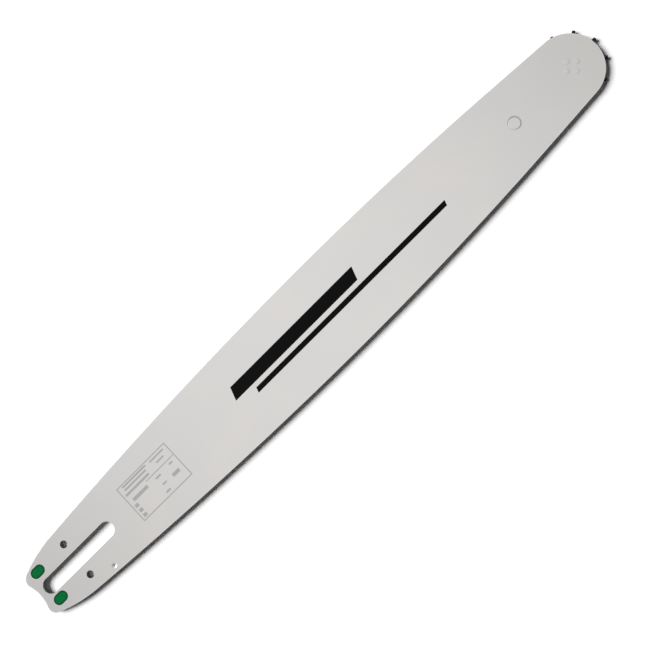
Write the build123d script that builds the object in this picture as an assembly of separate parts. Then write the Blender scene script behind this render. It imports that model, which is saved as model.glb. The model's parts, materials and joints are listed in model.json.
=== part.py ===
from build123d import *
from math import asin, atan2, cos, degrees, floor, hypot, pi, radians, sin, sqrt, tan
import os

# Sprocket-nose chainsaw guide bar, lying flat on its back face, in millimetres.
# Origin: centre of the stud slot, on the back face. +X runs to the nose, +Z to the front face.

# Laminated body: two side plates with a smaller core plate between them
SIDE_THICKNESS = 1.65
CORE_THICKNESS = 1.6
GROOVE_DEPTH = 8.0
EDGE_BREAK = 0.3

# Long edges: one large arc to the tail, one to the nose, then a straight taper
BELLY_X = 255.0
BELLY_HALF_WIDTH = 36.15
TAIL_EDGE_RADIUS = 3400.0
NOSE_EDGE_RADIUS = 2700.0
NOSE_TIP_X = 523.7
TAPER_TO_TIP = 70.2

# Tail: the edges curve in to two rounded ears with a shallow hollow between them
TAIL_WALL = 4.9
TAIL_BLEND_X = -6.0
TAIL_BLEND_RADIUS = 110.0
EAR_RADIUS = 6.7
TAIL_HOLLOW = 2.1
TAIL_TONGUE_WALL = 4.4

# Saw mounting: stud slot, tensioner peg holes, and a countersunk oil inlet above the groove
SLOT_LENGTH = 72.0
SLOT_WIDTH = 12.2
PEG_HOLE_DIAMETER = 5.8
PEG_HOLE_X = -1.7
PEG_HOLE_Y = 14.9
OIL_INLET_DIAMETER = 4.2
OIL_INLET_ANGLE = 118.0
OIL_INLET_BORE = 1.2
OIL_INLET_X = 16.3
OIL_INLET_EDGE = 5.0

# Windows that lighten the core plate
WINDOW_COUNT = 6
WINDOW_SLOT_LAND = 26.0
WINDOW_NOSE_LAND = 46.0
WINDOW_RIB = 10.0
WINDOW_EDGE_LAND = 8.0
WINDOW_CORNER = 6.0

# Enamel marks printed on the ears of the front face
MARK_LENGTH = 12.0
MARK_WIDTH = 8.2
MARK_TO_TAIL = 12.6
MARK_Y = 13.0
MARK_SHIFT = 1.2
MARK_THICKNESS = 0.1

# Ring that a welding electrode has pressed into the front face
WELD_RING_TO_SPROCKET = 55.3
WELD_RING_DIAMETER = 9.2
WELD_RING_WIDTH = 0.7
WELD_RING_DEPTH = 0.2

# Nose bearing: riveted hub, full ring of rollers, star sprocket
HUB_WALL = 0.9
ROLLER_DIAMETER = 3.5
BEARING_CLEARANCE = 0.02
END_CLEARANCE = 0.05
TOOTH_COUNT = 10
TOOTH_TIP_RADIUS = 25.9
TOOTH_REACH = 3.2
TOOTH_TIP_WIDTH = 2.2
TOOTH_TIP_ROUND = 0.6
VALLEY_RADIUS = 3.2
VALLEY_FLOOR_WALL = 3.76
TOOTH_PHASE = 5.2
POCKET_CLEARANCE = 1.0

# Nose rivets: flush at the back, with a low crown in front
RIVET_COUNT = 4
RIVET_CIRCLE_DIAMETER = 9.6
RIVET_DIAMETER = 4.4
RIVET_CROWN = 0.12

# Levels and places that follow from the sizes above
CORE_Z = SIDE_THICKNESS
FRONT_Z = SIDE_THICKNESS + CORE_THICKNESS
FACE_Z = FRONT_Z + SIDE_THICKNESS
TAIL_X = -(SLOT_LENGTH / 2 + TAIL_WALL + TAIL_HOLLOW)
TAPER_X = NOSE_TIP_X - TAPER_TO_TIP
SPROCKET_X = NOSE_TIP_X + TOOTH_REACH - TOOTH_TIP_RADIUS
POCKET_RADIUS = TOOTH_TIP_RADIUS + POCKET_CLEARANCE
HUB_RADIUS = (RIVET_CIRCLE_DIAMETER + RIVET_DIAMETER) / 2 + HUB_WALL
ROLLER_CIRCLE_RADIUS = HUB_RADIUS + BEARING_CLEARANCE + ROLLER_DIAMETER / 2
SPROCKET_BORE_RADIUS = ROLLER_CIRCLE_RADIUS + ROLLER_DIAMETER / 2 + BEARING_CLEARANCE
VALLEY_FLOOR_RADIUS = SPROCKET_BORE_RADIUS + VALLEY_FLOOR_WALL
ROLLER_COUNT = floor(pi / asin((ROLLER_DIAMETER / 2 + BEARING_CLEARANCE) / ROLLER_CIRCLE_RADIUS))


def edge_half_width(x):
    """Half width of the bar at x, on the long edges between tail blend and nose."""
    radius = TAIL_EDGE_RADIUS if x < BELLY_X else NOSE_EDGE_RADIUS
    arc_x = min(x, TAPER_X)
    on_arc = BELLY_HALF_WIDTH - radius + sqrt(radius**2 - (arc_x - BELLY_X) ** 2)
    return on_arc - (x - arc_x) * tan(asin((arc_x - BELLY_X) / radius))


def arc(centre, start, end):
    """Arc about a centre from one point to another, by the shorter way round."""
    radius = hypot(start[0] - centre[0], start[1] - centre[1])
    first = degrees(atan2(start[1] - centre[1], start[0] - centre[0]))
    last = degrees(atan2(end[1] - centre[1], end[0] - centre[0]))
    sweep = (last - first + 180) % 360 - 180
    return CenterArc(centre, radius, first, sweep)


def toward(point, centre, distance):
    """Point moved by a distance towards a centre."""
    share = distance / hypot(centre[0] - point[0], centre[1] - point[1])
    return tuple(here + (there - here) * share for here, there in zip(point, centre))


# Tail blend is tangent to the long edge, and the ear is tangent to the blend and reaches TAIL_X
TAIL_EDGE_CENTRE = (BELLY_X, BELLY_HALF_WIDTH - TAIL_EDGE_RADIUS)
BLEND_START = (TAIL_BLEND_X, edge_half_width(TAIL_BLEND_X))
BLEND_CENTRE = toward(BLEND_START, TAIL_EDGE_CENTRE, TAIL_BLEND_RADIUS)
EAR_X = TAIL_X + EAR_RADIUS
EAR_Y = BLEND_CENTRE[1] + sqrt((TAIL_BLEND_RADIUS - EAR_RADIUS) ** 2 - (EAR_X - BLEND_CENTRE[0]) ** 2)
EAR_START = toward((EAR_X, EAR_Y), BLEND_CENTRE, -EAR_RADIUS)

# Hollow between the ears is tangent to both of them
HOLLOW_RADIUS = (EAR_Y**2 + TAIL_HOLLOW**2) / (2 * TAIL_HOLLOW) - EAR_RADIUS
HOLLOW_MIDDLE = (TAIL_X + TAIL_HOLLOW, 0)
HOLLOW_CENTRE = (HOLLOW_MIDDLE[0] - HOLLOW_RADIUS, 0)
HOLLOW_START = toward((EAR_X, EAR_Y), HOLLOW_CENTRE, EAR_RADIUS)

# Nose arc is tangent to the taper and reaches the tip
NOSE_EDGE_CENTRE = (BELLY_X, BELLY_HALF_WIDTH - NOSE_EDGE_RADIUS)
TAPER_START = (TAPER_X, edge_half_width(TAPER_X))
TAPER_ANGLE = asin((TAPER_X - BELLY_X) / NOSE_EDGE_RADIUS)
TAPER_LINE_HEIGHT = (TAPER_X - NOSE_TIP_X) * sin(TAPER_ANGLE) + TAPER_START[1] * cos(TAPER_ANGLE)
NOSE_RADIUS = TAPER_LINE_HEIGHT / (1 - sin(TAPER_ANGLE))
NOSE_CENTRE = (NOSE_TIP_X - NOSE_RADIUS, 0)
NOSE_START = (NOSE_CENTRE[0] + NOSE_RADIUS * sin(TAPER_ANGLE), NOSE_RADIUS * cos(TAPER_ANGLE))


def long_edge(inset):
    """Upper edge from tail blend to the end of the taper, set in all along by the same amount."""
    ear_end = toward(EAR_START, BLEND_CENTRE, inset)
    blend_end = toward(BLEND_START, BLEND_CENTRE, inset)
    belly = (BELLY_X, BELLY_HALF_WIDTH - inset)
    taper_end = toward(TAPER_START, NOSE_EDGE_CENTRE, inset)
    nose_end = toward(NOSE_START, NOSE_CENTRE, inset)
    return [
        arc(BLEND_CENTRE, ear_end, blend_end),
        arc(TAIL_EDGE_CENTRE, blend_end, belly),
        arc(NOSE_EDGE_CENTRE, belly, taper_end),
        Line(taper_end, nose_end),
    ]


def mirrored_face(upper_edges):
    """Face between a run of edges above the bar's axis and its mirror image below."""
    lower_edges = [mirror(edge, about=Plane.XZ) for edge in upper_edges]
    return Sketch() + make_face(Curve() + upper_edges + lower_edges)


def bar_outline():
    """Closed face of the bar, from the hollow of the tail to the tip of the nose."""
    tail = [
        arc(HOLLOW_CENTRE, HOLLOW_MIDDLE, HOLLOW_START),
        arc((EAR_X, EAR_Y), HOLLOW_START, EAR_START),
    ]
    nose = arc(NOSE_CENTRE, NOSE_START, (NOSE_TIP_X, 0))
    return mirrored_face(tail + long_edge(0) + [nose])


def core_outline():
    """Closed face of the core: long edges set in by the groove, and a tongue to the tail."""
    edges = long_edge(GROOVE_DEPTH)
    tail_end = edges[0] @ 0
    nose_end = edges[-1] @ 1
    closing = [Line((tail_end.X, 0), tail_end), Line(nose_end, (nose_end.X, 0))]
    tongue_width = SLOT_WIDTH + 2 * TAIL_TONGUE_WALL
    tongue = Rectangle(-TAIL_X, tongue_width, align=(Align.MAX, Align.CENTER))
    return mirrored_face(edges + closing) + (bar_outline() & tongue)


def stud_slot():
    return SlotOverall(SLOT_LENGTH, SLOT_WIDTH)


def peg_holes():
    places = Locations((PEG_HOLE_X, PEG_HOLE_Y), (PEG_HOLE_X, -PEG_HOLE_Y))
    return Sketch() + [place * Circle(PEG_HOLE_DIAMETER / 2) for place in places]


def nose_rivets():
    """Rivets round the sprocket's axis, each through both side plates and the hub."""
    length = FACE_Z + RIVET_CROWN
    rivet = Cylinder(RIVET_DIAMETER / 2, length, align=(Align.CENTER, Align.CENTER, Align.MIN))
    rivet = chamfer(rivet.faces().sort_by(Axis.Z)[-1].edges(), RIVET_CROWN)
    places = PolarLocations(RIVET_CIRCLE_DIAMETER / 2, RIVET_COUNT)
    return [Pos(SPROCKET_X, 0, 0) * place * rivet for place in places]


def weld_ring():
    """Ring-shaped cutter for the mark of the welding electrode."""
    ring = Circle((WELD_RING_DIAMETER + WELD_RING_WIDTH) / 2)
    ring -= Circle((WELD_RING_DIAMETER - WELD_RING_WIDTH) / 2)
    place = Pos(SPROCKET_X - WELD_RING_TO_SPROCKET, 0, FACE_Z - WELD_RING_DEPTH)
    return place * extrude(ring, 2 * WELD_RING_DEPTH)


def oil_inlet():
    """Cutter for the oil inlet: a drill-point cone from the front face, and a bore to the groove."""
    from_face = (Align.CENTER, Align.CENTER, Align.MAX)
    cone_depth = (OIL_INLET_DIAMETER - OIL_INLET_BORE) / 2 / tan(radians(OIL_INLET_ANGLE / 2))
    cone = Cone(OIL_INLET_BORE / 2, OIL_INLET_DIAMETER / 2, cone_depth, align=from_face)
    bore = Cylinder(OIL_INLET_BORE / 2, SIDE_THICKNESS, align=from_face)
    inlet_y = OIL_INLET_EDGE - edge_half_width(OIL_INLET_X)
    return Pos(OIL_INLET_X, inlet_y, FACE_Z) * (cone + bore)


def side_plate():
    """Front plate, the outer edge of its outline broken; turned over, it is the back plate."""
    outline = bar_outline() - stud_slot() - peg_holes()
    plate = Pos(0, 0, FRONT_Z) * extrude(outline, SIDE_THICKNESS)
    front_face = plate.faces().sort_by(Axis.Z)[-1]
    plate = chamfer(front_face.outer_wire().edges(), EDGE_BREAK)
    return plate - oil_inlet() - nose_rivets()


def core_windows():
    """Rounded windows between slot and sprocket, as high as the lands above and below allow."""
    first_x = SLOT_LENGTH / 2 + WINDOW_SLOT_LAND
    last_x = SPROCKET_X - POCKET_RADIUS - WINDOW_NOSE_LAND
    pitch = (last_x - first_x + WINDOW_RIB) / WINDOW_COUNT
    land = GROOVE_DEPTH + WINDOW_EDGE_LAND
    windows = []
    for index in range(WINDOW_COUNT):
        left = first_x + index * pitch
        right = left + pitch - WINDOW_RIB
        left_half = edge_half_width(left) - land
        right_half = edge_half_width(right) - land
        corners = [(left, -left_half), (right, -right_half), (right, right_half), (left, left_half)]
        window = make_face(Polyline(*corners, close=True))
        windows.append(fillet(window.vertices(), WINDOW_CORNER))
    return windows


def core_plate():
    """Middle plate, with a pocket for the sprocket and lightening windows."""
    core = core_outline()
    core -= Pos(SPROCKET_X, 0) * Circle(POCKET_RADIUS)
    core -= stud_slot()
    core -= peg_holes()
    core -= core_windows()
    return Pos(0, 0, CORE_Z) * extrude(core, CORE_THICKNESS)


def nose_sprocket():
    """Star with pointed teeth; each valley is the hull of a round floor and a wide mouth."""
    pitch = 360 / TOOTH_COUNT
    tip_half_angle = asin(TOOTH_TIP_WIDTH / 2 / TOOTH_TIP_RADIUS)
    mouth_half_angle = radians(pitch / 2) - tip_half_angle
    mouth_x = TOOTH_TIP_RADIUS * cos(mouth_half_angle)
    mouth_y = TOOTH_TIP_RADIUS * sin(mouth_half_angle)
    floor_circle = Pos(VALLEY_FLOOR_RADIUS + VALLEY_RADIUS, 0) * Circle(VALLEY_RADIUS)
    valley = make_hull(floor_circle.edges() + [Line((mouth_x, -mouth_y), (mouth_x, mouth_y))])
    rim = Pos(mouth_x, 0) * Rectangle(TOOTH_TIP_RADIUS, 2 * mouth_y, align=(Align.MIN, Align.CENTER))
    valley = Sketch() + valley + rim
    star = Circle(TOOTH_TIP_RADIUS)
    for index in range(TOOTH_COUNT):
        star -= Rot(0, 0, (index + 0.5) * pitch) * valley
    tips = star.vertices().filter_by(lambda v: hypot(v.X, v.Y) > mouth_x + TOOTH_TIP_ROUND / 2)
    star = fillet(tips, TOOTH_TIP_ROUND)
    star -= Circle(SPROCKET_BORE_RADIUS)
    thickness = CORE_THICKNESS - 2 * END_CLEARANCE
    return Pos(SPROCKET_X, 0, CORE_Z + END_CLEARANCE) * Rot(0, 0, TOOTH_PHASE) * extrude(star, thickness)


def bearing_hub():
    hub = Cylinder(HUB_RADIUS, CORE_THICKNESS, align=(Align.CENTER, Align.CENTER, Align.MIN))
    return Pos(SPROCKET_X, 0, CORE_Z) * hub - nose_rivets()


def bearing_rollers():
    length = CORE_THICKNESS - 2 * END_CLEARANCE
    roller = Cylinder(ROLLER_DIAMETER / 2, length, align=(Align.CENTER, Align.CENTER, Align.MIN))
    ring = PolarLocations(ROLLER_CIRCLE_RADIUS, ROLLER_COUNT)
    return [Pos(SPROCKET_X, 0, CORE_Z + END_CLEARANCE) * place * roller for place in ring]


def enamel_marks():
    """Rounded marks on the two ears, both a little above the bar's axis of symmetry."""
    mark = extrude(SlotOverall(MARK_LENGTH, MARK_WIDTH), MARK_THICKNESS)
    mark_x = TAIL_X + MARK_TO_TAIL
    return [Pos(mark_x, MARK_SHIFT + side * MARK_Y, FACE_Z) * mark for side in (1, -1)]


def build():
    """All nodes by name."""
    nodes = {
        "side_plate_back": Pos(0, 0, FACE_Z) * Rot(180, 0, 0) * side_plate(),
        "core_plate": core_plate(),
        "side_plate_front": side_plate() - weld_ring(),
        "nose_sprocket": nose_sprocket(),
        "bearing_hub": bearing_hub(),
    }
    for index, roller in enumerate(bearing_rollers(), start=1):
        nodes[f"bearing_roller_{index:02d}"] = roller
    for index, rivet in enumerate(nose_rivets(), start=1):
        nodes[f"nose_rivet_{index}"] = rivet
    for name, mark in zip(("mark_upper", "mark_lower"), enamel_marks()):
        nodes[name] = mark
    return nodes


os.makedirs("parts", exist_ok=True)
for node_name, solid in build().items():
    export_step(solid, f"parts/{node_name}.step")
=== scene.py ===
import json

import bpy
import numpy as np
from mathutils import Matrix, Vector
from mathutils.geometry import delaunay_2d_cdt


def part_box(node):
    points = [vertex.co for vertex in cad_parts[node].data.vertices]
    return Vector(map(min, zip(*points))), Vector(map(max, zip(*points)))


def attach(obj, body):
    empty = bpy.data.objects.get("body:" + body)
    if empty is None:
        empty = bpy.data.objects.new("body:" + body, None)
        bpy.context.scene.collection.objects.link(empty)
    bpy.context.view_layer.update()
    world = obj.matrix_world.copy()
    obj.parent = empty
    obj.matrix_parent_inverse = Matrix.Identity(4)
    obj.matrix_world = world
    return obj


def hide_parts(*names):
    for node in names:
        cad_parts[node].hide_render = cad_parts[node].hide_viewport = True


# A sprocket-nose guide bar that lies flat on its back face, in metres, in the frame of its solids.
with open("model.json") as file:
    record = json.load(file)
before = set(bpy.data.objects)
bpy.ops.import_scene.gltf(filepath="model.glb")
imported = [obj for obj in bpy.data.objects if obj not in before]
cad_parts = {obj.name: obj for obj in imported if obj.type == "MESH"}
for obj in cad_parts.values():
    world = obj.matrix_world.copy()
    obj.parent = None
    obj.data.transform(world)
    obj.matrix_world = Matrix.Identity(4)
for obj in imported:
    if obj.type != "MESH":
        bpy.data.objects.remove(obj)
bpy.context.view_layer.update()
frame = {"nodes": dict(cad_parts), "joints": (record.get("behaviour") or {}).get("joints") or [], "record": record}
MM = 0.001

# Levels and places that the solids give
BACK_LOW, BACK_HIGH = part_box("side_plate_back")
FRONT_LOW, FRONT_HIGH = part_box("side_plate_front")
STAR_LOW, STAR_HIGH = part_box("nose_sprocket")
FACE_Z = FRONT_HIGH.z
TAIL_X = FRONT_LOW.x
TIP_X = FRONT_HIGH.x
BELLY_HALF_WIDTH = FRONT_HIGH.y
JOINTS = {joint["name"]: joint for joint in frame["joints"]}
MOUNTS = {mount["name"]: mount for mount in frame["record"]["mounts"]}
NOSE_AXIS = np.array(JOINTS["sprocket_spin"]["pos_m"][:2])

# Outline of the side plates
BELLY_X = 255.0 * MM
TAIL_EDGE_RADIUS = 3400.0 * MM
NOSE_EDGE_RADIUS = 2700.0 * MM
TAPER_TO_TIP = 70.2 * MM
TAIL_BLEND_X = -6.0 * MM
TAIL_BLEND_RADIUS = 110.0 * MM
EAR_RADIUS = 6.7 * MM
TAIL_HOLLOW = 2.1 * MM
HOLLOW_STEPS = 24
EAR_STEPS = 44
BLEND_STEPS = 28
LONG_EDGE_STEPS = 64
NOSE_STEPS = 96

# Edges, slot and holes of the side plates
SLOT_LENGTH = 72.0 * MM
SLOT_WIDTH = 12.2 * MM
EDGE_ROUND = 0.3 * MM
EDGE_BAND = 1.2 * MM
HOLE_ROUND = 0.12 * MM
HOLE_BAND = 0.5 * MM
INLET_BORE_RADIUS = 0.6 * MM
INLET_HALF_ANGLE = np.radians(59.0)
SLOT_END_STEPS = 64
HOLE_STEPS = 96
ROUND_STEPS = 6

# Ring pressed into the front face by a welding electrode
RING_TO_AXIS = 55.3 * MM
RING_OUTER_RADIUS = 4.95 * MM
RING_WIDTH = 0.7 * MM
RING_DEPTH = 0.2 * MM
# The ring's lacquer is darkened as painted shade of the groove: over this margin beside it, and more on the nose
# side across this reach
RING_SHADE_MARGIN = 0.25 * MM
RING_SHADE_REACH = 1.4 * RING_OUTER_RADIUS
RING_TURN_STEPS = 128
RING_STEPS = 10

# Star of the nose sprocket
TOOTH_COUNT = 10
TOOTH_PHASE = np.radians(5.2)
TOOTH_TIP_RADIUS = 25.9 * MM
TOOTH_TIP_WIDTH = 2.2 * MM
TOOTH_TIP_ROUND = 0.6 * MM
VALLEY_RADIUS = 3.2 * MM
VALLEY_FLOOR_RADIUS = 15.2 * MM
STAR_BORE_RADIUS = 11.44 * MM
STAR_EDGE_ROUND = 0.15 * MM
TOOTH_TIP_STEPS = 4
TOOTH_ROUND_STEPS = 8
VALLEY_STEPS = 18
STAR_BORE_STEPS = 144

# Rivets: the crown falls, and the painted shade towards its rim grows, with these powers of the radius,
# from a flat middle
RIVET_NUMBERS = range(1, 5)
RIVET_FLANK = 0.02 * MM
CROWN_POWER = 6
RIM_SHADE_POWER = 8
CROWN_FLAT_SHARE = 0.02
CROWN_STEPS = 14
RIVET_TURN_STEPS = 72

# Enamel marks
MARK_RIM = 0.8 * MM
MARK_RIM_BLEND = 0.6 * MM
MARK_EDGE_ROUND = 0.08 * MM
MARK_END_STEPS = 48

# Print: bars and stripes are given as left, right, low and high
INK_THICKNESS = 0.02 * MM
LABEL_X = (55.4 * MM, 105.75 * MM)
LABEL_Y = (-15.4 * MM, 16.0 * MM)
LABEL_LINE = 0.8 * MM
LABEL_BARS = MM * np.array([
    (60.0, 84.0, 13.0, 14.4),
    (60.0, 82.0, 10.3, 11.7),
    (57.8, 82.0, 6.6, 8.4),
    (88.0, 102.0, 12.4, 13.6),
    (91.5, 99.0, 8.6, 9.8),
    (76.5, 104.5, 4.4, 5.1),
    (60.0, 75.0, 0.2, 2.8),
    (57.8, 61.0, -4.5, -1.8),
    (57.8, 61.0, -9.0, -6.3),
    (57.8, 61.0, -13.5, -10.8),
    (83.0, 88.0, 0.2, 1.6),
    (84.0, 88.0, -6.4, -5.0),
    (82.0, 86.5, -12.4, -11.0),
    (97.5, 101.0, 1.0, 2.4),
    (94.0, 101.0, -7.5, -4.8),
])
STRIPE_SLANT = 0.36
STRIPE_BOLD = (166.0 * MM, 290.0 * MM, 0.0 * MM, 10.0 * MM)
STRIPE_FINE = (182.0 * MM, 372.0 * MM, -7.5 * MM, -3.5 * MM)

# Rows of a section: their columns, the two plain normals, and edges that are plain or edged; an
# edge share is rubbed wear on the plates, painted shade on the rivets and a darker rim on the enamel
INSET, LEVEL, EDGE = 0, 1, 4
UP = (0, 1)
OUT = (1, 0)
PLAIN, EDGED = 0, 1

# Places on a side plate, in the order of its finishes
FACE, RAIL, GROOVE, RING, INLET, HOLE = range(6)

# Joining of points, and the flat triangulation, which fills the whole hull
JOIN_DIGITS = 9
WHOLE_HULL = 0
HULL_TOLERANCE = 1e-7

# Lacquer: share of light given back, and how fast painted shade deepens it with the square of the way to the ends
LACQUER_TONE = 0.575
LACQUER_END_SHADE = 4.1
RAIL_FADE = 16.0 * MM

# Relief and patterns of the finishes: ranges that noise keeps to, and its cells to a metre
NOISE_RANGE = (0.3, 0.7)
NOISE_CORE = (0.35, 0.65)
PEEL_CELLS = 850.0
PEEL_STRENGTH = 0.22
PEEL_DEPTH = 0.06 * MM
ROLLING_LINES = (14.0, 1100.0, 1.0)
ROLLING_SHARE = 0.35
GRINDING_LINES = (60.0, 9000.0, 1.0)
GRAIN_DEPTH = 0.03 * MM
ENAMEL_DEPTH = 0.04 * MM
INK_DEPTH = 0.02 * MM

# Camera and light, as they stand in the reference view
CAMERA_PLACE = Vector((0.29512, -0.08432, 0.64809))
CAMERA_RIGHT = Vector((0.70694, -0.69459, -0.13334))
CAMERA_UP = Vector((0.7038, 0.70952, 0.03537))
CAMERA_NEAR = 10.0 * MM
FOCAL_PIXELS = 905.0
IMAGE_HEIGHT = 653
SENSOR_MM = 36.0
LIGHT_TRAVEL = Vector((3.4, -4.0, -4.9)).normalized()
LIGHT_ANGLE = np.radians(35.0)
LIGHT_POWER = 5.1
FILL_STRENGTH = 0.045
REFLECTED_STRENGTH = 0.5
BACKDROP_STRENGTH = 1.0
FLOOR_HALF_SIZE = 6.0
FLOOR_TONE = 0.92


def toward(point, centre, distance):
    """Point moved by a distance along the straight line to a centre."""
    point, centre = np.asarray(point, float), np.asarray(centre, float)
    return point + (centre - point) * distance / np.linalg.norm(centre - point)


def arc_points(centre, start, end, count):
    """Points at even angles about a centre, from start to end by the shorter way, end left out."""
    centre = np.asarray(centre, float)
    arms = np.array([start, end], float) - centre
    first, last = np.arctan2(arms[:, 1], arms[:, 0])
    sweep = (last - first + np.pi) % (2 * np.pi) - np.pi
    angles = first + sweep * np.arange(count) / count
    return centre + np.linalg.norm(arms[0]) * np.column_stack([np.cos(angles), np.sin(angles)])


def edge_half_width(x, radius):
    """Height of a long edge at x: an arc of that radius whose top is at the belly."""
    return BELLY_HALF_WIDTH - radius + np.sqrt(radius**2 - (x - BELLY_X) ** 2)


def bar_loop():
    """Outline of a side plate: hollow, ear, blend, two long arcs, taper and nose, and their mirror."""
    tail_centre = np.array([BELLY_X, BELLY_HALF_WIDTH - TAIL_EDGE_RADIUS])
    nose_centre = np.array([BELLY_X, BELLY_HALF_WIDTH - NOSE_EDGE_RADIUS])
    belly = np.array([BELLY_X, BELLY_HALF_WIDTH])
    blend_start = np.array([TAIL_BLEND_X, edge_half_width(TAIL_BLEND_X, TAIL_EDGE_RADIUS)])
    blend_centre = toward(blend_start, tail_centre, TAIL_BLEND_RADIUS)
    ear_x = TAIL_X + EAR_RADIUS
    ear_reach = TAIL_BLEND_RADIUS - EAR_RADIUS
    ear_rise = np.sqrt(ear_reach**2 - (ear_x - blend_centre[0]) ** 2)
    ear = np.array([ear_x, blend_centre[1] + ear_rise])
    ear_end = toward(ear, blend_centre, -EAR_RADIUS)
    hollow_radius = (ear[1] ** 2 + TAIL_HOLLOW**2) / (2 * TAIL_HOLLOW) - EAR_RADIUS
    hollow_middle = np.array([TAIL_X + TAIL_HOLLOW, 0.0])
    hollow_centre = hollow_middle - [hollow_radius, 0.0]
    ear_start = toward(ear, hollow_centre, EAR_RADIUS)
    taper_x = TIP_X - TAPER_TO_TIP
    taper_start = np.array([taper_x, edge_half_width(taper_x, NOSE_EDGE_RADIUS)])
    slope = np.arcsin((taper_x - BELLY_X) / NOSE_EDGE_RADIUS)
    line_height = (taper_x - TIP_X) * np.sin(slope) + taper_start[1] * np.cos(slope)
    nose_radius = line_height / (1 - np.sin(slope))
    tip_centre = np.array([TIP_X - nose_radius, 0.0])
    nose_start = tip_centre + nose_radius * np.array([np.sin(slope), np.cos(slope)])
    upper = np.vstack([
        arc_points(hollow_centre, hollow_middle, ear_start, HOLLOW_STEPS),
        arc_points(ear, ear_start, ear_end, EAR_STEPS),
        arc_points(blend_centre, ear_end, blend_start, BLEND_STEPS),
        arc_points(tail_centre, blend_start, belly, LONG_EDGE_STEPS),
        arc_points(nose_centre, belly, taper_start, LONG_EDGE_STEPS),
        [taper_start],
        arc_points(tip_centre, nose_start, (TIP_X, 0.0), NOSE_STEPS),
    ])
    lower = upper[:0:-1] * [1, -1]
    return np.vstack([upper, [[TIP_X, 0.0]], lower])[::-1]


def round_hole(centre, radius, count=HOLE_STEPS):
    """Clockwise circle, so that the material is on its left as it is on an outline's."""
    angles = -2 * np.pi * np.arange(count) / count
    return np.asarray(centre) + radius * np.column_stack([np.cos(angles), np.sin(angles)])


def oblong(centre, length, width, count):
    """Anticlockwise oblong along x: two half circles joined by straight runs."""
    turn = np.pi * np.arange(count + 1) / count - np.pi / 2
    half = np.column_stack([np.cos(turn), np.sin(turn)]) * width / 2 + [(length - width) / 2, 0.0]
    return np.asarray(centre) + np.vstack([half, -half])


def slanted_bar(left, right, low, high):
    """Anticlockwise parallelogram whose ends lean forward."""
    lean = STRIPE_SLANT * (high - low)
    return np.array([[left, low], [right, low], [right + lean, high], [left + lean, high]])


def rectangle(left, right, low, high, inset=0.0):
    """Anticlockwise rectangle, set in on all sides."""
    left, right, low, high = left + inset, right - inset, low + inset, high - inset
    return np.array([[left, low], [right, low], [right, high], [left, high]])


def star_loop():
    """Ten teeth, each a tip arc, two tip rounds, straight flanks and half a valley on either side.

    Half a tooth is laid out in the complex plane with its axis on the real line; its conjugate is
    the other half, and turning by a tenth of a circle gives the next tooth.
    """
    half_pitch = np.pi / TOOTH_COUNT
    corner = TOOTH_TIP_RADIUS * np.exp(1j * np.arcsin(TOOTH_TIP_WIDTH / 2 / TOOTH_TIP_RADIUS))
    valley = (VALLEY_FLOOR_RADIUS + VALLEY_RADIUS) * np.exp(1j * half_pitch)
    reach = valley - corner
    flank = reach / abs(reach) * np.exp(1j * np.arcsin(VALLEY_RADIUS / abs(reach)))
    root = corner + flank * np.sqrt(abs(reach) ** 2 - VALLEY_RADIUS**2)
    inward = 1j * flank
    offset = corner + inward * TOOTH_TIP_ROUND
    along = (offset * flank.conjugate()).real
    round_reach = TOOTH_TIP_RADIUS - TOOTH_TIP_ROUND
    step = -along - np.sqrt(along**2 - abs(offset) ** 2 + round_reach**2)
    round_centre = offset + flank * step

    def flat(point):
        return np.array([point.real, point.imag])

    tip_end = round_centre * TOOTH_TIP_RADIUS / abs(round_centre)
    flank_start = round_centre - inward * TOOTH_TIP_ROUND
    floor = VALLEY_FLOOR_RADIUS * np.exp(1j * half_pitch)
    half = np.vstack([
        arc_points((0.0, 0.0), (TOOTH_TIP_RADIUS, 0.0), flat(tip_end), TOOTH_TIP_STEPS),
        arc_points(flat(round_centre), flat(tip_end), flat(flank_start), TOOTH_ROUND_STEPS),
        [flat(flank_start)],
        arc_points(flat(valley), flat(root), flat(floor), VALLEY_STEPS),
        [flat(floor)],
    ])
    half = half[:, 0] + 1j * half[:, 1]
    tooth = np.concatenate([half.conjugate()[:0:-1], half[:-1]])
    turns = np.exp(1j * (TOOTH_PHASE + 2 * half_pitch * np.arange(TOOTH_COUNT)))
    star = (turns[:, None] * tooth).ravel()
    return NOSE_AXIS + np.column_stack([star.real, star.imag])


def outward(loop):
    """Unit normals of a closed loop, on the right of its direction: the mean of both edges' there."""
    edge = np.roll(loop, -1, axis=0) - loop
    edge /= np.linalg.norm(edge, axis=1, keepdims=True)
    tangent = edge + np.roll(edge, 1, axis=0)
    tangent /= np.linalg.norm(tangent, axis=1, keepdims=True)
    return np.column_stack([tangent[:, 1], -tangent[:, 0]])


def section(*rows):
    """Rows of a section from top to bottom: inset, level, outward and upward normal, edge share."""
    return np.array(rows, float)


def plain_wall(high, low, edge):
    """Section of an upright wall with sharp edges."""
    return section((0, high, *OUT, edge), (0, low, *OUT, edge))


def rounded(level, radius, up):
    """Quarter round between a face and its wall, in the order that goes down the section."""
    turn = np.linspace(0, np.pi / 2, ROUND_STEPS + 1)
    inset = radius * (1 - np.sin(turn))
    height = level - up * radius * (1 - np.cos(turn))
    worn = np.full_like(turn, EDGED)
    rows = np.column_stack([inset, height, np.sin(turn), up * np.cos(turn), worn])
    return rows if up > 0 else rows[::-1]


def pressed_edge(low, high, radius, margin):
    """Section of a front plate's edge: a flat margin, a round at the face and a plain wall."""
    face = section((radius + margin, high, *UP, PLAIN))
    return np.vstack([face, rounded(high, radius, 1), section((0, low, *OUT, EDGED))])


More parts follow.
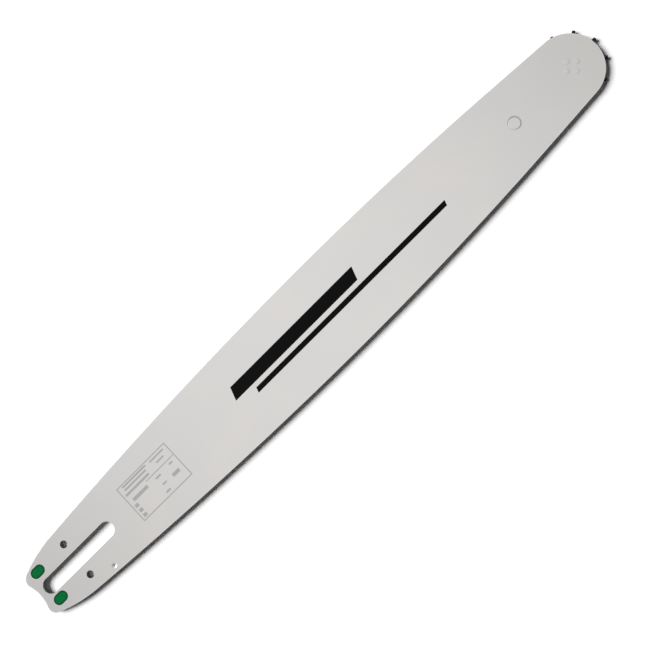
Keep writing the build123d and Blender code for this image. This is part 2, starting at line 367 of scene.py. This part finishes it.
def inlet_edge(low, high, mouth_radius):
    """Section of a front plate's oil inlet: a drill-point cone and a short bore."""
    reach = mouth_radius - INLET_BORE_RADIUS
    floor = high - reach / np.tan(INLET_HALF_ANGLE)
    slant = (np.cos(INLET_HALF_ANGLE), np.sin(INLET_HALF_ANGLE))
    return section(
        (0, high, *slant, PLAIN),
        (-reach, floor, *slant, PLAIN),
        (-reach, floor, *OUT, PLAIN),
        (-reach, low, *OUT, PLAIN),
    )


def turned_over(rows, low, high):
    """Section of the back plate from that of the front plate: levels mirrored, order reversed."""
    inset, level, sideways, upwards, edge = rows.T
    return np.column_stack([inset, low + high - level, sideways, -upwards, edge])[::-1]


def band(loop, rows, material=0):
    """Surface of a section carried along a closed loop: point = loop - inset x normal, at its level.

    material is one index, or one index for each row of faces and each step of the loop. Two equal
    rows with unlike normals make a sharp edge, with no faces between them.
    """
    normal = outward(loop)
    steps = len(loop)
    whole = (len(rows), steps, 1)
    inset, level, sideways, upwards, edge = rows.T
    flat = loop - inset[:, None, None] * normal
    points = np.concatenate([flat, np.broadcast_to(level[:, None, None], whole)], axis=2)
    across = sideways[:, None, None] * normal
    normals = np.concatenate([across, np.broadcast_to(upwards[:, None, None], whole)], axis=2)
    edge_length = np.linalg.norm(np.roll(loop, -1, axis=0) - loop, axis=1)
    run = np.concatenate([[0.0], np.cumsum(edge_length)])
    drop = np.hypot(np.diff(inset), np.diff(level))
    fall = np.concatenate([[0.0], np.cumsum(drop)])
    row, step = np.meshgrid(np.flatnonzero(drop), np.arange(steps), indexing="ij")
    after = (step + 1) % steps
    here, below = row * steps, (row + 1) * steps
    corner = [here + step, below + step, below + after, here + after]
    along = [run[step], run[step], run[step + 1], run[step + 1]]
    down = [fall[row], fall[row + 1], fall[row + 1], fall[row]]
    return {
        "points": points.reshape(-1, 3),
        "normals": normals.reshape(-1, 3),
        "edge": np.repeat(edge, steps),
        "faces": np.stack(corner, axis=-1).reshape(-1, 4),
        "uv": np.stack([np.stack(along, -1), np.stack(down, -1)], -1).reshape(-1, 4, 2),
        "material": np.broadcast_to(material, row.shape).ravel(),
    }


def inside(points, loop):
    """Whether each point lies inside a loop: an odd number of edges crosses the ray along +x."""
    start, end = loop, np.roll(loop, -1, axis=0)
    x, y = points[:, 0, None], points[:, 1, None]
    spans = (start[:, 1] > y) != (end[:, 1] > y)
    rise = end[:, 1] - start[:, 1]
    rise = np.where(rise == 0, 1.0, rise)
    crossing = start[:, 0] + (y - start[:, 1]) / rise * (end[:, 0] - start[:, 0])
    return np.sum(spans & (x < crossing), axis=1) % 2 == 1


def cap(outline, holes, level, up, edge, material, islands=()):
    """Flat face between an outline and its holes, with islands inside some holes, in triangles."""
    loops = [outline, *holes, *islands]
    flat = np.vstack(loops)
    starts = np.cumsum([0] + [len(loop) for loop in loops])
    edges = np.vstack([
        np.column_stack([np.arange(len(loop)), np.roll(np.arange(len(loop)), -1)]) + start
        for loop, start in zip(loops, starts)
    ])
    vectors = [Vector(point) for point in (flat / MM).tolist()]
    hull = delaunay_2d_cdt(vectors, edges.tolist(), [], WHOLE_HULL, HULL_TOLERANCE)
    _, _, triangles, origins, _, _ = hull
    triangles = np.array([origin[0] for origin in origins])[np.array(triangles)]
    middle = flat[triangles].mean(axis=1)
    keep = inside(middle, outline)
    for hole in holes:
        keep &= ~inside(middle, hole)
    for island in islands:
        keep |= inside(middle, island)
    triangles = triangles[keep]
    first = flat[triangles[:, 1]] - flat[triangles[:, 0]]
    second = flat[triangles[:, 2]] - flat[triangles[:, 0]]
    turn = first[:, 0] * second[:, 1] - first[:, 1] * second[:, 0]
    wrong_way = turn * up < 0
    triangles[wrong_way] = triangles[wrong_way][:, ::-1]
    count = len(flat)
    return {
        "points": np.column_stack([flat, np.full(count, level)]),
        "normals": np.tile([0.0, 0.0, up], (count, 1)),
        "edge": np.full(count, edge),
        "faces": triangles,
        "uv": flat[triangles],
        "material": np.full(len(triangles), material),
    }


def first_ring(loop, rows):
    """Upper end of a section carried along a loop."""
    return loop - rows[0, INSET] * outward(loop)


def last_ring(loop, rows):
    """Lower end of a section carried along a loop."""
    return loop - rows[-1, INSET] * outward(loop)


def make_piece(name, patches, materials, body, nodes=()):
    """One object from patches: equal points are joined, and corners keep their patch's normals."""
    sizes = [len(patch["points"]) for patch in patches]
    starts = np.cumsum([0] + sizes)
    points = np.vstack([patch["points"] for patch in patches])
    normals = np.vstack([patch["normals"] for patch in patches])
    edge = np.concatenate([patch["edge"] for patch in patches])
    corners = [patch["faces"] + start for patch, start in zip(patches, starts)]
    corner = np.concatenate([faces.ravel() for faces in corners])
    totals = np.concatenate([np.full(len(faces), faces.shape[1]) for faces in corners])
    near = np.round(points, JOIN_DIGITS)
    _, keep, joined = np.unique(near, axis=0, return_index=True, return_inverse=True)
    mesh = bpy.data.meshes.new(name)
    mesh.vertices.add(len(keep))
    mesh.vertices.foreach_set("co", points[keep].astype(np.float32).ravel())
    mesh.loops.add(len(corner))
    mesh.loops.foreach_set("vertex_index", joined.ravel()[corner].astype(np.int32))
    mesh.polygons.add(len(totals))
    mesh.polygons.foreach_set("loop_start", (np.cumsum(totals) - totals).astype(np.int32))
    indices = np.concatenate([patch["material"] for patch in patches])
    mesh.polygons.foreach_set("material_index", indices.astype(np.int32))
    uv = np.vstack([patch["uv"].reshape(-1, 2) for patch in patches])
    mesh.uv_layers.new(name="run").data.foreach_set("uv", uv.astype(np.float32).ravel())
    share = mesh.attributes.new("edge", "FLOAT", "CORNER")
    share.data.foreach_set("value", edge[corner].astype(np.float32))
    mesh.update(calc_edges=True)
    mesh.normals_split_custom_set(normals[corner].tolist())
    for material in materials:
        mesh.materials.append(material)
    piece = bpy.data.objects.new(name, mesh)
    bpy.context.scene.collection.objects.link(piece)
    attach(piece, body)
    if nodes:
        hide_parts(*nodes)


def slab(outline, rim, rim_material=0, holes=(), grooves=(), top=0, bottom=0):
    """Patches of a flat piece: edge sections round the outline and holes, and both faces.

    holes and grooves are (loop, rows, material), where the first material is taken if none is
    given; a groove is a ring in the upper face only, with an island of that face in its middle.
    """
    upper = [first_ring(loop, rows) for loop, rows, *_ in (*holes, *grooves)]
    lower = [last_ring(loop, rows) for loop, rows, *_ in holes]
    islands = [last_ring(loop, rows) for loop, rows, *_ in grooves]
    return [
        band(outline, rim, rim_material),
        *(band(*opening) for opening in (*holes, *grooves)),
        cap(first_ring(outline, rim), upper, rim[0, LEVEL], 1, rim[0, EDGE], top, islands),
        cap(last_ring(outline, rim), lower, rim[-1, LEVEL], -1, rim[-1, EDGE], bottom),
    ]


class Shader:
    """Node tree of one finish: a principled shader and short ways to add nodes to it."""

    # Sockets of the mix node that take and give colours
    FIRST_COLOUR, SECOND_COLOUR, MIXED_COLOUR = 6, 7, 2

    def __init__(self, name):
        """New material, and the Object coordinates that its patterns are laid out in."""
        self.material = bpy.data.materials.new(name)
        self.material.use_nodes = True
        self.tree = self.material.node_tree
        self.surface = self.tree.nodes["Principled BSDF"]
        self.place = self.add("ShaderNodeTexCoord").outputs["Object"]

    def add(self, kind, **values):
        """New node with its own settings."""
        node = self.tree.nodes.new(kind)
        for name, value in values.items():
            setattr(node, name, value)
        return node

    def feed(self, socket, value):
        """Another node's output linked to a socket, or a constant set on it."""
        if isinstance(value, bpy.types.NodeSocket):
            self.tree.links.new(value, socket)
        else:
            socket.default_value = value

    def noise(self, per_metre, detail=2.0, roughness=0.5, vector=None):
        """Noise with so many cells to a metre."""
        node = self.add("ShaderNodeTexNoise")
        self.feed(node.inputs["Vector"], vector or self.place)
        self.feed(node.inputs["Scale"], per_metre)
        self.feed(node.inputs["Detail"], detail)
        self.feed(node.inputs["Roughness"], roughness)
        return node.outputs["Fac"]

    def streaks(self, vector, per_metre, detail, roughness=0.5):
        """Noise drawn out into lines, with so many cells to a metre on each axis."""
        node = self.add("ShaderNodeMapping")
        self.feed(node.inputs["Vector"], vector)
        self.feed(node.inputs["Scale"], per_metre)
        return self.noise(1.0, detail, roughness, node.outputs["Vector"])

    def ramp(self, value, start, end, low=0.0, high=1.0):
        """Straight rise from low at start to high at end, level beyond both."""
        node = self.add("ShaderNodeMapRange", clamp=True)
        self.feed(node.inputs["Value"], value)
        self.feed(node.inputs["From Min"], start)
        self.feed(node.inputs["From Max"], end)
        self.feed(node.inputs["To Min"], low)
        self.feed(node.inputs["To Max"], high)
        return node.outputs["Result"]

    def spread(self, noise, low=0.0, high=1.0):
        """Noise stretched so that the range it keeps to goes from low to high."""
        return self.ramp(noise, *NOISE_RANGE, low, high)

    def mix(self, share, first, second):
        """Two colours mixed by the share of the second."""
        node = self.add("ShaderNodeMix", data_type="RGBA", clamp_factor=True)
        self.feed(node.inputs["Factor"], share)
        self.feed(node.inputs[self.FIRST_COLOUR], first)
        self.feed(node.inputs[self.SECOND_COLOUR], second)
        return node.outputs[self.MIXED_COLOUR]

    def reckon(self, operation, first, second):
        """Sum, difference or product of two values."""
        node = self.add("ShaderNodeMath", operation=operation)
        for socket, value in zip(node.inputs, (first, second)):
            self.feed(socket, value)
        return node.outputs["Value"]

    def times(self, first, second):
        """Product of two values."""
        return self.reckon("MULTIPLY", first, second)

    def along(self):
        """Place along the bar, in metres from the middle of the stud slot."""
        node = self.add("ShaderNodeSeparateXYZ")
        self.feed(node.inputs["Vector"], self.place)
        return node.outputs["X"]

    def edge(self):
        """Share of edge that the mesh carries at its corners."""
        return self.add("ShaderNodeAttribute", attribute_name="edge").outputs["Fac"]

    def run(self):
        """Way along the loop and down its section, in metres, as the mesh carries it."""
        return self.add("ShaderNodeUVMap", uv_map="run").outputs["UV"]

    def bump(self, height, strength, distance):
        """Fine relief of the surface."""
        node = self.add("ShaderNodeBump")
        self.feed(node.inputs["Strength"], strength)
        self.feed(node.inputs["Distance"], distance)
        self.feed(node.inputs["Height"], height)
        self.feed(self.surface.inputs["Normal"], node.outputs["Normal"])

    def finish(self, **values):
        """Material with the rest of its surface's sockets fed, by their names in small letters."""
        for name, value in values.items():
            socket = name.replace("_", " ").title().replace("Ior", "IOR")
            self.feed(self.surface.inputs[socket], value)
        return self.material


def grey(level, warmth=0.0):
    """Opaque grey, a little redder and less blue as warmth grows."""
    return (level * (1 + warmth), level, level * (1 - warmth), 1.0)


def lacquer(name, edge_tone, edge_low, edge_high):
    """Light grey satin lacquer with painted shade that darkens it towards both ends of the bar.

    It has warm and cool clouds, fine speckle, orange peel and rolling lines. Its edges take on a
    tone of their own, by an uneven share between two bounds: rubbed lighter on the plates, and
    darker as painted shade round the rivets.
    """
    shade = Shader(name)
    cool = grey(LACQUER_TONE, warmth=0.010)
    warm = grey(LACQUER_TONE * 1.02, warmth=0.032)
    speck = grey(LACQUER_TONE * 0.85, warmth=0.02)
    shaded_end = grey(LACQUER_TONE * 0.3, warmth=0.02)
    clouds = shade.ramp(shade.noise(per_metre=22.0, detail=3.0), *NOISE_CORE)
    base = shade.mix(clouds, cool, warm)
    speckle = shade.spread(shade.noise(per_metre=2600.0), low=0.0, high=0.16)
    base = shade.mix(speckle, base, speck)
    # Painted shade: the tone darkens with the square of the way from the middle towards both ends
    from_middle = shade.reckon("SUBTRACT", shade.along(), BELLY_X)
    end_shade_share = shade.times(shade.times(from_middle, from_middle), LACQUER_END_SHADE)
    base = shade.mix(end_shade_share, base, shaded_end)
    patches = shade.noise(per_metre=240.0, detail=3.0)
    uneven = shade.ramp(patches, start=0.4, end=0.7, low=edge_low, high=edge_high)
    base = shade.mix(shade.times(shade.edge(), uneven), base, grey(LACQUER_TONE * edge_tone))
    peel = shade.noise(PEEL_CELLS, detail=3.0)
    rolling = shade.streaks(shade.place, ROLLING_LINES, detail=3.0)
    shade.bump(shade.mix(ROLLING_SHARE, peel, rolling), PEEL_STRENGTH, PEEL_DEPTH)
    rough = shade.spread(shade.noise(per_metre=160.0, detail=3.0), low=0.53, high=0.59)
    return shade.finish(base_color=base, roughness=rough, specular_ior_level=0.2)


def scorched_lacquer():
    """Lacquer of the ring, darkened as painted shade of its groove, more on the nose side, over orange peel."""
    shade = Shader("scorched_lacquer")
    pale = grey(0.53, warmth=0.02)
    shaded_tone = grey(0.29, warmth=0.02)
    middling = grey(0.40, warmth=0.02)
    tail_side = NOSE_AXIS[0] - RING_TO_AXIS - RING_OUTER_RADIUS
    # Painted shade: darker from the ring's tail side towards its nose side
    nose_side_shade = shade.ramp(shade.along(), tail_side, tail_side + RING_SHADE_REACH)
    base = shade.mix(nose_side_shade, pale, shaded_tone)
    uneven = shade.ramp(shade.noise(per_metre=170.0), *NOISE_CORE, low=0.0, high=0.3)
    base = shade.mix(uneven, base, middling)
    shade.bump(shade.noise(PEEL_CELLS, detail=3.0), PEEL_STRENGTH, PEEL_DEPTH)
    rough = shade.spread(shade.noise(per_metre=160.0, detail=3.0), low=0.55, high=0.66)
    return shade.finish(base_color=base, roughness=rough, specular_ior_level=0.2)


def rail_steel():
    """Ground rail edge: bright steel with fine lines along the run and small dark stains.

    The grinding runs out unevenly at the tail, where the edge keeps its lacquer.
    """
    shade = Shader("ground_rail_steel")
    dark = grey(0.38, warmth=0.01)
    bright = grey(0.56, warmth=0.01)
    rust = grey(0.22, warmth=0.05)
    lacquered = grey(LACQUER_TONE * 0.85, warmth=0.015)
    fade = RAIL_FADE / 2
    lines = shade.streaks(shade.run(), GRINDING_LINES, detail=4.0, roughness=0.6)
    spots = shade.noise(per_metre=90.0, detail=4.0)
    stain = shade.ramp(spots, start=0.55, end=0.75, low=0.0, high=0.5)
    base = shade.mix(shade.spread(lines), dark, bright)
    base = shade.mix(stain, base, rust)
    uneven = shade.spread(shade.noise(per_metre=150.0, detail=3.0), low=-fade, high=fade)
    place = shade.reckon("ADD", shade.along(), uneven)
    ground = shade.ramp(place, TAIL_BLEND_X - fade, TAIL_BLEND_X + fade)
    base = shade.mix(ground, lacquered, base)
    shade.bump(lines, strength=0.3, distance=GRAIN_DEPTH)
    rough = shade.spread(lines, low=0.30, high=0.46)
    return shade.finish(base_color=base, roughness=rough, metallic=ground)


def blackened_steel():
    """Hardened steel with a black oxide skin: cloudy near-black tone, fine grain, low sheen."""
    shade = Shader("blackened_steel")
    clouds = shade.spread(shade.noise(per_metre=180.0, detail=4.0, roughness=0.6))
    fine = shade.noise(per_metre=1800.0, detail=3.0)
    base = shade.mix(clouds, grey(0.005, warmth=0.02), grey(0.011, warmth=0.02))
    shade.bump(fine, strength=0.2, distance=GRAIN_DEPTH)
    rough = shade.spread(fine, low=0.48, high=0.62)
    return shade.finish(base_color=base, roughness=rough, specular_ior_level=0.12)


def dull_steel(name, dark, light, rough_low, rough_high, grain, metal=1.0):
    """Plain steel: cloudy tone between two greys, fine grain and uneven roughness."""
    shade = Shader(name)
    clouds = shade.spread(shade.noise(grain * 0.1, detail=4.0, roughness=0.6))
    fine = shade.noise(grain, detail=3.0)
    base = shade.mix(clouds, grey(dark, warmth=0.015), grey(light, warmth=0.01))
    shade.bump(fine, strength=0.2, distance=GRAIN_DEPTH)
    rough = shade.spread(fine, rough_low, rough_high)
    return shade.finish(base_color=base, roughness=rough, metallic=metal)


def green_enamel():
    """Green enamel with a darker rim, faint clouds and a slightly uneven gloss."""
    shade = Shader("green_enamel")
    deep = (0.001, 0.112, 0.026, 1.0)
    fresh = (0.002, 0.138, 0.036, 1.0)
    rim = (0.001, 0.042, 0.016, 1.0)
    rim_share = 0.9
    base = shade.mix(shade.spread(shade.noise(per_metre=420.0, detail=3.0)), deep, fresh)
    base = shade.mix(shade.times(shade.edge(), rim_share), base, rim)
    shade.bump(shade.noise(per_metre=1500.0), strength=0.15, distance=ENAMEL_DEPTH)
    rough = shade.spread(shade.noise(per_metre=700.0), low=0.50, high=0.60)
    return shade.finish(base_color=base, roughness=rough, specular_ior_level=0.02)


def printing_ink(name, level):
    """Thin flat printing ink: a grey or black with slight wear and an uneven surface."""
    shade = Shader(name)
    worn = grey(min(level * 1.6, level + 0.12))
    rubbing = shade.noise(per_metre=1900.0, detail=3.0)
    wear = shade.ramp(rubbing, start=0.45, end=0.75, low=0.0, high=0.30)
    base = shade.mix(wear, grey(level), worn)
    shade.bump(shade.noise(per_metre=2400.0), strength=0.1, distance=INK_DEPTH)
    rough = shade.spread(shade.noise(per_metre=900.0), low=0.50, high=0.62)
    return shade.finish(base_color=base, roughness=rough, specular_ior_level=0.02)


LACQUER = lacquer("satin_lacquer", edge_tone=1.15, edge_low=0.0, edge_high=0.35)
# Rivet lacquer darkens where its edge share rises: painted shade round each rivet
RIVET_LACQUER = lacquer("rivet_lacquer", edge_tone=0.6, edge_low=0.35, edge_high=0.8)
RING_SHADE_LACQUER = scorched_lacquer()
RAIL_STEEL = rail_steel()
GROOVE_STEEL = dull_steel(
    "groove_steel", dark=0.20, light=0.34, rough_low=0.38, rough_high=0.55, grain=1400.0
)
# Walls of the slot and peg holes: dark partly as bare steel, partly as painted shade in the holes
SHADED_HOLE_STEEL = dull_steel(
    "punched_steel", dark=0.26, light=0.40, rough_low=0.40, rough_high=0.56, grain=1400.0, metal=0.9
)
DRILLED_STEEL = dull_steel(
    "drilled_steel", dark=0.58, light=0.70, rough_low=0.48, rough_high=0.60, grain=2000.0, metal=0.8
)
BLACKENED_STEEL = blackened_steel()
BEARING_STEEL = dull_steel(
    "bearing_steel", dark=0.52, light=0.62, rough_low=0.18, rough_high=0.30, grain=2200.0
)
ENAMEL = green_enamel()
GREY_INK = printing_ink("grey_ink", level=0.34)
BLACK_INK = printing_ink("black_ink", level=0.0035)
PLATE_FINISHES = [
    LACQUER, RAIL_STEEL, GROOVE_STEEL, RING_SHADE_LACQUER, DRILLED_STEEL, SHADED_HOLE_STEEL
]


def rivet_seats():
    """Clockwise circles where the rivets pass through the side plates."""
    loops = []
    for index in RIVET_NUMBERS:
        low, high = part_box(f"nose_rivet_{index}")
        middle = (low + high) / 2
        loops.append(round_hole((middle.x, middle.y), (high.x - low.x) / 2, RIVET_TURN_STEPS))
    return loops


def mount_hole(name):
    """Clockwise circle of a round mount."""
    mount = MOUNTS[name]
    return round_hole(mount["pos_m"][:2], mount["dims"]["r_mm"] * MM)


def weld_ring(level):
    """Ring groove with its loop, section and place: half a sine wave deep, with flat margins."""
    loop = round_hole(NOSE_AXIS - [RING_TO_AXIS, 0.0], RING_OUTER_RADIUS, RING_TURN_STEPS)
    across = np.linspace(0, 1, RING_STEPS + 1)
    depth = RING_DEPTH * np.sin(np.pi * across)
    tilt = np.arctan(np.pi * RING_DEPTH / RING_WIDTH * np.cos(np.pi * across))
    plain = np.full_like(across, PLAIN)
    wave = np.column_stack(
        [-RING_WIDTH * across, level - depth, np.sin(tilt), np.cos(tilt), plain]
    )
    # The flat margins carry the ring's painted shade beyond the groove
    before = section((RING_SHADE_MARGIN, level, *UP, PLAIN), (0, level, *UP, PLAIN))
    beyond = section(
        (-RING_WIDTH, level, *UP, PLAIN),
        (-RING_WIDTH - RING_SHADE_MARGIN, level, *UP, PLAIN),
    )
    return loop, np.vstack([before, wave, beyond]), RING


def wall_finish(rows, place):
    """Finish of each row of faces of a plate's section: the face's, and another on the wall."""
    return np.where(np.diff(rows[:, INSET]) == 0, place, FACE)[:, None]


def side_plate(name, node, low, high, face_up):
    """Side plate with a rounded edge, ground rails, holes, oil inlet and, in front, the ring."""
    slot = oblong((0.0, 0.0), SLOT_LENGTH, SLOT_WIDTH, SLOT_END_STEPS)[::-1]
    inlet = MOUNTS["oil_inlet_front" if face_up else "oil_inlet_back"]
    sections = [
        pressed_edge(low, high, EDGE_ROUND, EDGE_BAND),
        pressed_edge(low, high, HOLE_ROUND, HOLE_BAND),
        inlet_edge(low, high, inlet["dims"]["r_mm"] * MM),
        plain_wall(high, low, PLAIN),
    ]
    if not face_up:
        sections = [turned_over(rows, low, high) for rows in sections]
    edge_rows, hole_rows, inlet_rows, seat_rows = sections
    # Slot and peg hole walls take that darker steel: partly bare steel, partly painted shade
    hole_finish = wall_finish(hole_rows, HOLE)
    holes = [
        (slot, hole_rows, hole_finish),
        (mount_hole("peg_hole_upper"), hole_rows, hole_finish),
        (mount_hole("peg_hole_lower"), hole_rows, hole_finish),
        (mount_hole(inlet["name"]), inlet_rows, INLET),
        *((seat, seat_rows, FACE) for seat in rivet_seats()),
    ]
    grooves = [weld_ring(high)] if face_up else []
    top, bottom = (FACE, GROOVE) if face_up else (GROOVE, FACE)
    rail = wall_finish(edge_rows, RAIL)
    patches = slab(bar_loop(), edge_rows, rail, holes, grooves, top, bottom)
    make_piece(name, patches, PLATE_FINISHES, "bar", [node])


def nose_star():
    """Sprocket: the star outline with both edges rounded, round a plain bore."""
    low, high = STAR_LOW.z, STAR_HIGH.z
    rows = np.vstack([rounded(high, STAR_EDGE_ROUND, 1), rounded(low, STAR_EDGE_ROUND, -1)])
    bore = round_hole(NOSE_AXIS, STAR_BORE_RADIUS, STAR_BORE_STEPS)
    patches = slab(star_loop(), rows, holes=[(bore, plain_wall(high, low, EDGED))])
    finishes = [BLACKENED_STEEL]
    make_piece("sprocket_star", patches, finishes, "sprocket", ["nose_sprocket"])


def crowned_rivet(index):
    """Rivet as a turned shape: a crown that falls with a power of the radius, and a shank."""
    node = f"nose_rivet_{index}"
    low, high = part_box(node)
    middle = (low + high) / 2
    radius = (high.x - low.x) / 2
    foot = FACE_Z + RIVET_FLANK
    crown = high.z - FACE_Z - RIVET_FLANK
    share = np.sqrt(np.linspace(CROWN_FLAT_SHARE, 1, CROWN_STEPS))
    level = foot + crown * (1 - share**CROWN_POWER)
    tilt = np.arctan(crown * CROWN_POWER * share ** (CROWN_POWER - 1) / radius)
    # Edge share rising towards the rim, darkened by the rivet lacquer: painted shade round the crown
    rim_shade = share**RIM_SHADE_POWER
    dome = np.column_stack([radius * (1 - share), level, np.sin(tilt), np.cos(tilt), rim_shade])
    loop = round_hole((middle.x, middle.y), radius, RIVET_TURN_STEPS)[::-1]
    patches = slab(loop, np.vstack([dome, plain_wall(foot, low.z, EDGED)]))
    make_piece(f"rivet_{index}", patches, [RIVET_LACQUER], "bar", [node])


def enamel_mark(node):
    """Rounded enamel pad with a soft edge; its rim band carries the darker tone."""
    low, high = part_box(node)
    middle = (low + high) / 2
    loop = oblong((middle.x, middle.y), high.x - low.x, high.y - low.y, MARK_END_STEPS)
    field = section((MARK_RIM + MARK_RIM_BLEND, high.z, *UP, PLAIN))
    rim = section((MARK_RIM, high.z, *UP, EDGED))
    wall = section((0, low.z, *OUT, EDGED))
    rows = np.vstack([field, rim, rounded(high.z, MARK_EDGE_ROUND, 1), wall])
    patches = slab(loop, rows)
    make_piece(f"enamel_{node}", patches, [ENAMEL], "bar", [node])


def printed_shapes(name, shapes, ink):
    """Thin square-edged layer of ink on the front face, as outlines with their clockwise holes."""
    rows = plain_wall(FACE_Z + INK_THICKNESS, FACE_Z, PLAIN)
    patches = []
    for outline, holes in shapes:
        patches += slab(outline, rows, holes=[(hole, rows) for hole in holes])
    make_piece(name, patches, [ink], "bar")


def printed_label():
    """Ruled frame with plain bars of unlike sizes inside it."""
    opening = rectangle(*LABEL_X, *LABEL_Y, inset=LABEL_LINE)[::-1]
    printed_shapes("print_frame", [(rectangle(*LABEL_X, *LABEL_Y), [opening])], GREY_INK)
    printed_shapes("print_bars", [(rectangle(*bar), []) for bar in LABEL_BARS], GREY_INK)


def printed_stripes():
    """Two plain slanted stripes along the bar, one bold and one fine."""
    stripes = [(slanted_bar(*stripe), []) for stripe in (STRIPE_BOLD, STRIPE_FINE)]
    printed_shapes("print_stripes", stripes, BLACK_INK)


def dress_inner_nodes():
    """Finishes of the pieces that keep their solid's own shape."""
    for name, node in frame["nodes"].items():
        if name == "core_plate":
            finish = GROOVE_STEEL
        elif name.startswith("bearing"):
            finish = BEARING_STEEL
        else:
            continue
        node.material_slots[0].material = finish


def build_floor():
    """Plain pale floor at the level of the back face."""
    size = FLOOR_HALF_SIZE
    mesh = bpy.data.meshes.new("floor")
    corners = [(-size, -size, 0), (size, -size, 0), (size, size, 0), (-size, size, 0)]
    mesh.from_pydata(corners, [], [(0, 1, 2, 3)])
    shade = Shader("pale_floor")
    pale = shade.finish(base_color=grey(FLOOR_TONE), roughness=0.9, specular_ior_level=0.0)
    mesh.materials.append(pale)
    floor = bpy.data.objects.new("floor", mesh)
    bpy.context.scene.collection.objects.link(floor)


def build_light():
    """Soft key from the tail's upper side, weak fill, pale room to reflect and white backdrop.

    The world's strength is the fill's, raised to the room's for rays that a surface reflects and to
    the backdrop's for those that the camera sends.
    """
    lamp = bpy.data.lights.new("key", "SUN")
    lamp.angle = LIGHT_ANGLE
    lamp.energy = LIGHT_POWER
    key = bpy.data.objects.new("key", lamp)
    key.rotation_mode = "QUATERNION"
    key.rotation_quaternion = LIGHT_TRAVEL.to_track_quat("-Z", "Y")
    bpy.context.scene.collection.objects.link(key)
    world = bpy.data.worlds.new("studio")
    world.use_nodes = True
    nodes, links = world.node_tree.nodes, world.node_tree.links
    path = nodes.new("ShaderNodeLightPath")
    seen = nodes.new("ShaderNodeMapRange")
    seen.inputs["To Min"].default_value = FILL_STRENGTH
    seen.inputs["To Max"].default_value = BACKDROP_STRENGTH
    links.new(path.outputs["Is Camera Ray"], seen.inputs["Value"])
    strength = nodes.new("ShaderNodeMath")
    strength.operation = "MULTIPLY_ADD"
    reflected, gain, base = strength.inputs
    links.new(path.outputs["Is Glossy Ray"], reflected)
    gain.default_value = REFLECTED_STRENGTH - FILL_STRENGTH
    links.new(seen.outputs["Result"], base)
    links.new(strength.outputs["Value"], nodes["Background"].inputs["Strength"])
    nodes["Background"].inputs["Color"].default_value = (1.0, 1.0, 1.0, 1.0)
    bpy.context.scene.world = world


def build_camera():
    """Camera at the reference view, its axes given as the right and up directions."""
    data = bpy.data.cameras.new("camera")
    data.sensor_width = SENSOR_MM
    data.lens = FOCAL_PIXELS * SENSOR_MM / IMAGE_HEIGHT
    data.clip_start = CAMERA_NEAR
    camera = bpy.data.objects.new("camera", data)
    right = CAMERA_RIGHT.normalized()
    back = right.cross(CAMERA_UP).normalized()
    up = back.cross(right)
    turn = Matrix((right, up, back)).transposed().to_4x4()
    camera.matrix_world = Matrix.Translation(CAMERA_PLACE) @ turn
    bpy.context.scene.collection.objects.link(camera)
    bpy.context.scene.camera = camera
    bpy.context.scene.view_settings.view_transform = "Standard"


side_plate("plate_back", "side_plate_back", BACK_LOW.z, BACK_HIGH.z, False)
side_plate("plate_front", "side_plate_front", FRONT_LOW.z, FRONT_HIGH.z, True)
nose_star()
for rivet_index in RIVET_NUMBERS:
    crowned_rivet(rivet_index)
for mark_node in ("mark_upper", "mark_lower"):
    enamel_mark(mark_node)
printed_label()
printed_stripes()
dress_inner_nodes()
build_floor()
build_light()
build_camera()
